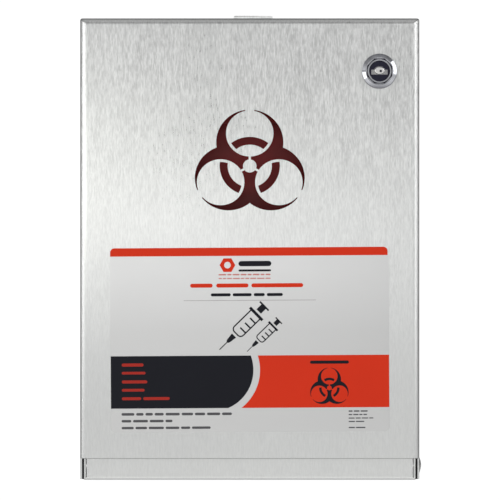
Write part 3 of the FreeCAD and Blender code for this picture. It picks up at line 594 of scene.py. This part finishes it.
def small_trefoil(cu, cw, unit):
    """The three-armed warning symbol as print, much like the window."""

    def scaled(*sizes):
        return [size * unit for size in sizes]

    def disc_out(distance, r, arm):
        a = math.radians(arm)
        return disc(cu + distance * unit * math.cos(a), cw + distance * unit * math.sin(a), r * unit)

    def layer(outline):
        ink = Ink("label_trefoil", "black", 2)
        ink.shape(outline)
        return ink.mesh_object()

    def combine(target, outline, operation):
        other = layer(outline)
        step = target.modifiers.new("step", "BOOLEAN")
        step.operation, step.object, step.solver = operation, other, "EXACT"
        target.data = bpy.data.meshes.new_from_object(
            target.evaluated_get(bpy.context.evaluated_depsgraph_get()))
        target.modifiers.clear()
        bpy.data.objects.remove(other)

    horns = layer(disc_out(*OUTER, ARMS[0]))
    for arm in ARMS[1:]:
        combine(horns, disc_out(*OUTER, arm), "UNION")
    for arm in ARMS:
        combine(horns, disc_out(*HOLLOW, arm), "DIFFERENCE")
        combine(horns, strip(cu, cw, *scaled(*CENTRE_SLOT), arm), "DIFFERENCE")
        combine(horns, strip(cu, cw, *scaled(*TIP_GAP), arm), "DIFFERENCE")
    combine(horns, disc(cu, cw, CENTRE_HOLE * unit), "DIFFERENCE")
    (outer, outer_angle), (inner, inner_angle) = RING
    for arm in ARMS:
        ring = (arc(cu, cw, outer * unit, arm - outer_angle, arm + outer_angle, 12)
                + arc(cu, cw, inner * unit, arm + inner_angle, arm - inner_angle, 12))
        combine(horns, ring, "UNION")
    return horns


dress(small_trefoil(50.4, -31.0, 0.496), "black")

for ink in (red, black, grey, rule, pink, on_black, on_red):
    ink.finish()


# ---- stage, light and camera -----------------------------------------------
def soft_light(name, place, target, size, power, colour=(1, 1, 1)):
    """A rectangular lamp that the camera can't see."""
    data = bpy.data.lights.new(name, "AREA")
    data.shape = "RECTANGLE"
    data.size, data.size_y = size
    data.energy = power
    data.color = colour
    lamp = bpy.data.objects.new(name, data)
    lamp.location = place
    lamp.rotation_euler = (Vector(target) - Vector(place)).to_track_quat("-Z", "Y").to_euler()
    bpy.context.scene.collection.objects.link(lamp)
    lamp.visible_camera = False


FLOOR_Z = -0.55
FLOOR_RADIUS = 4.0
FLOOR_GLOW = 0.28        # as if lit by the rest of the studio
disc_mesh = bmesh.new()
bmesh.ops.create_circle(disc_mesh, cap_ends=True, segments=96, radius=FLOOR_RADIUS)
floor = bpy.data.objects.new("floor", bpy.data.meshes.new("floor"))
disc_mesh.to_mesh(floor.data)
disc_mesh.free()
floor.location = (0, 0, FLOOR_Z)
bpy.context.scene.collection.objects.link(floor)
floor_paint = Shader("pale_floor")
floor_paint.set(Base_Color=(0.86, 0.86, 0.86), Roughness=0.9, Emission_Color=(1.0, 1.0, 1.0),
                Emission_Strength=FLOOR_GLOW)
floor.data.materials.append(floor_paint.material)

soft_light("side_left", (-1.05, -0.95, 0.58), (-0.1, -0.12, 0.08), (0.40, 0.75), 2.3)
soft_light("side_right", (1.05, -0.95, 0.66), (0.1, -0.12, 0.08), (0.40, 0.75), 3.4)
soft_light("strip_left", (-1.25, -0.58, 0.19), (-0.1, -0.12, 0.10), (0.28, 0.56), 1.3)
soft_light("quarter_left", (-0.97, -0.92, 0.10), (-0.1, -0.12, 0.05), (0.25, 0.45), 0.38)
soft_light("quarter_right", (0.97, -0.92, 0.10), (0.1, -0.12, 0.05), (0.25, 0.45), 0.20)
soft_light("strip_right", (1.15, -0.78, 0.19), (0.1, -0.12, 0.10), (0.28, 0.56), 1.2)
soft_light("front_left", (-0.40, -0.75, 0.066), (-0.09, -0.12, 0.04), (0.38, 0.13), 0.31, (1.0, 1.0, 0.93))
soft_light("front", (-0.07, -1.15, 0.005), (-0.02, -0.12, 0), (0.42, 0.12), 0.18)
soft_light("front_low", (0, -1.1, -0.40), (0, -0.12, -0.1), (1.2, 0.20), 0.84, (1.0, 1.0, 0.96))
soft_light("top", (0, 0.4, 1.3), (0, -0.05, 0), (0.9, 0.35), 0.35)
soft_light("under", (0, -0.55, FLOOR_Z + 0.01), (0, -0.55, 0), (1.6, 0.8), 0.3)
# these two show in the lock's bezel
soft_light("glint_right", (1.1, -0.125, 0.40), (0.1, -0.12, 0.11), (0.13, 0.90), 0.68)
soft_light("glint_left", (-0.85, -0.20, -0.10), (0.08, -0.12, 0.11), (0.14, 0.44), 0.27)

# the surroundings: bright in front, darker above and behind, white where the camera sees them
# each step of the sky is a height, from 0 straight down to 1 straight up, and its brightness
SKY = ((0.10, 0.50), (0.36, 0.85), (0.47, 0.95), (0.50, 0.66), (0.53, 0.30), (0.57, 0.88), (0.62, 0.78),
       (0.78, 0.32), (0.93, 0.42), (0.985, 0.78))
SKY_BLUE = 1.005
REAR_FADE = (-0.25, 0.38, 1.0, 0.18)     # from and to, towards the wall, and how bright
BACKDROP = 1.05          # a little over white

world = bpy.data.worlds.new("studio")
bpy.context.scene.world = world
world.use_nodes = True
tree = world.node_tree


def world_node(kind, **inputs):
    """A node of the surroundings, with its inputs by name and underscores for spaces."""
    node = tree.nodes.new(kind)
    for key, value in inputs.items():
        socket = node.inputs[key.replace("_", " ")]
        if isinstance(value, bpy.types.NodeSocket):
            tree.links.new(value, socket)
        else:
            socket.default_value = value
    return node


direction = world_node("ShaderNodeTexCoord").outputs["Generated"]
split = world_node("ShaderNodeSeparateXYZ", Vector=direction)
height = world_node("ShaderNodeMapRange", Value=split.outputs["Z"], From_Min=-1.0, From_Max=1.0)
shades = world_node("ShaderNodeValToRGB", Fac=height.outputs["Result"])
for place, level in SKY[1:-1]:
    shades.color_ramp.elements.new(place)
for element, (place, level) in zip(shades.color_ramp.elements, SKY):
    element.position = place
    element.color = (level, level, level * SKY_BLUE, 1)
rear = world_node("ShaderNodeMapRange", Value=split.outputs["Y"], From_Min=REAR_FADE[0],
                  From_Max=REAR_FADE[1], To_Min=REAR_FADE[2], To_Max=REAR_FADE[3])
background = tree.nodes["Background"]
tree.links.new(shades.outputs["Color"], background.inputs["Color"])
tree.links.new(rear.outputs["Result"], background.inputs["Strength"])
white = world_node("ShaderNodeBackground", Color=(1, 1, 1, 1), Strength=BACKDROP)
ray = world_node("ShaderNodeLightPath")
blend = world_node("ShaderNodeMixShader", Fac=ray.outputs["Is Camera Ray"])
tree.links.new(background.outputs["Background"], blend.inputs[1])
tree.links.new(white.outputs["Background"], blend.inputs[2])
tree.links.new(blend.outputs["Shader"], tree.nodes["World Output"].inputs["Surface"])
bpy.context.scene.view_settings.view_transform = "Standard"

# straight on to the cover, far enough back for almost no perspective
CAMERA_DISTANCE = 2.0
CAMERA_X, CAMERA_Z = 0.00015, -0.0005
FRAME_WIDTH = 0.3178     # width of the view at the cover's face
camera_data = bpy.data.cameras.new("camera")
camera_data.sensor_width = 36.0
camera_data.lens = camera_data.sensor_width * CAMERA_DISTANCE / FRAME_WIDTH
camera = bpy.data.objects.new("camera", camera_data)
camera.location = (CAMERA_X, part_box("front_cover")[0].y - CAMERA_DISTANCE, CAMERA_Z)
camera.rotation_euler = (math.radians(90), 0, 0)
bpy.context.scene.collection.objects.link(camera)
bpy.context.scene.camera = camera
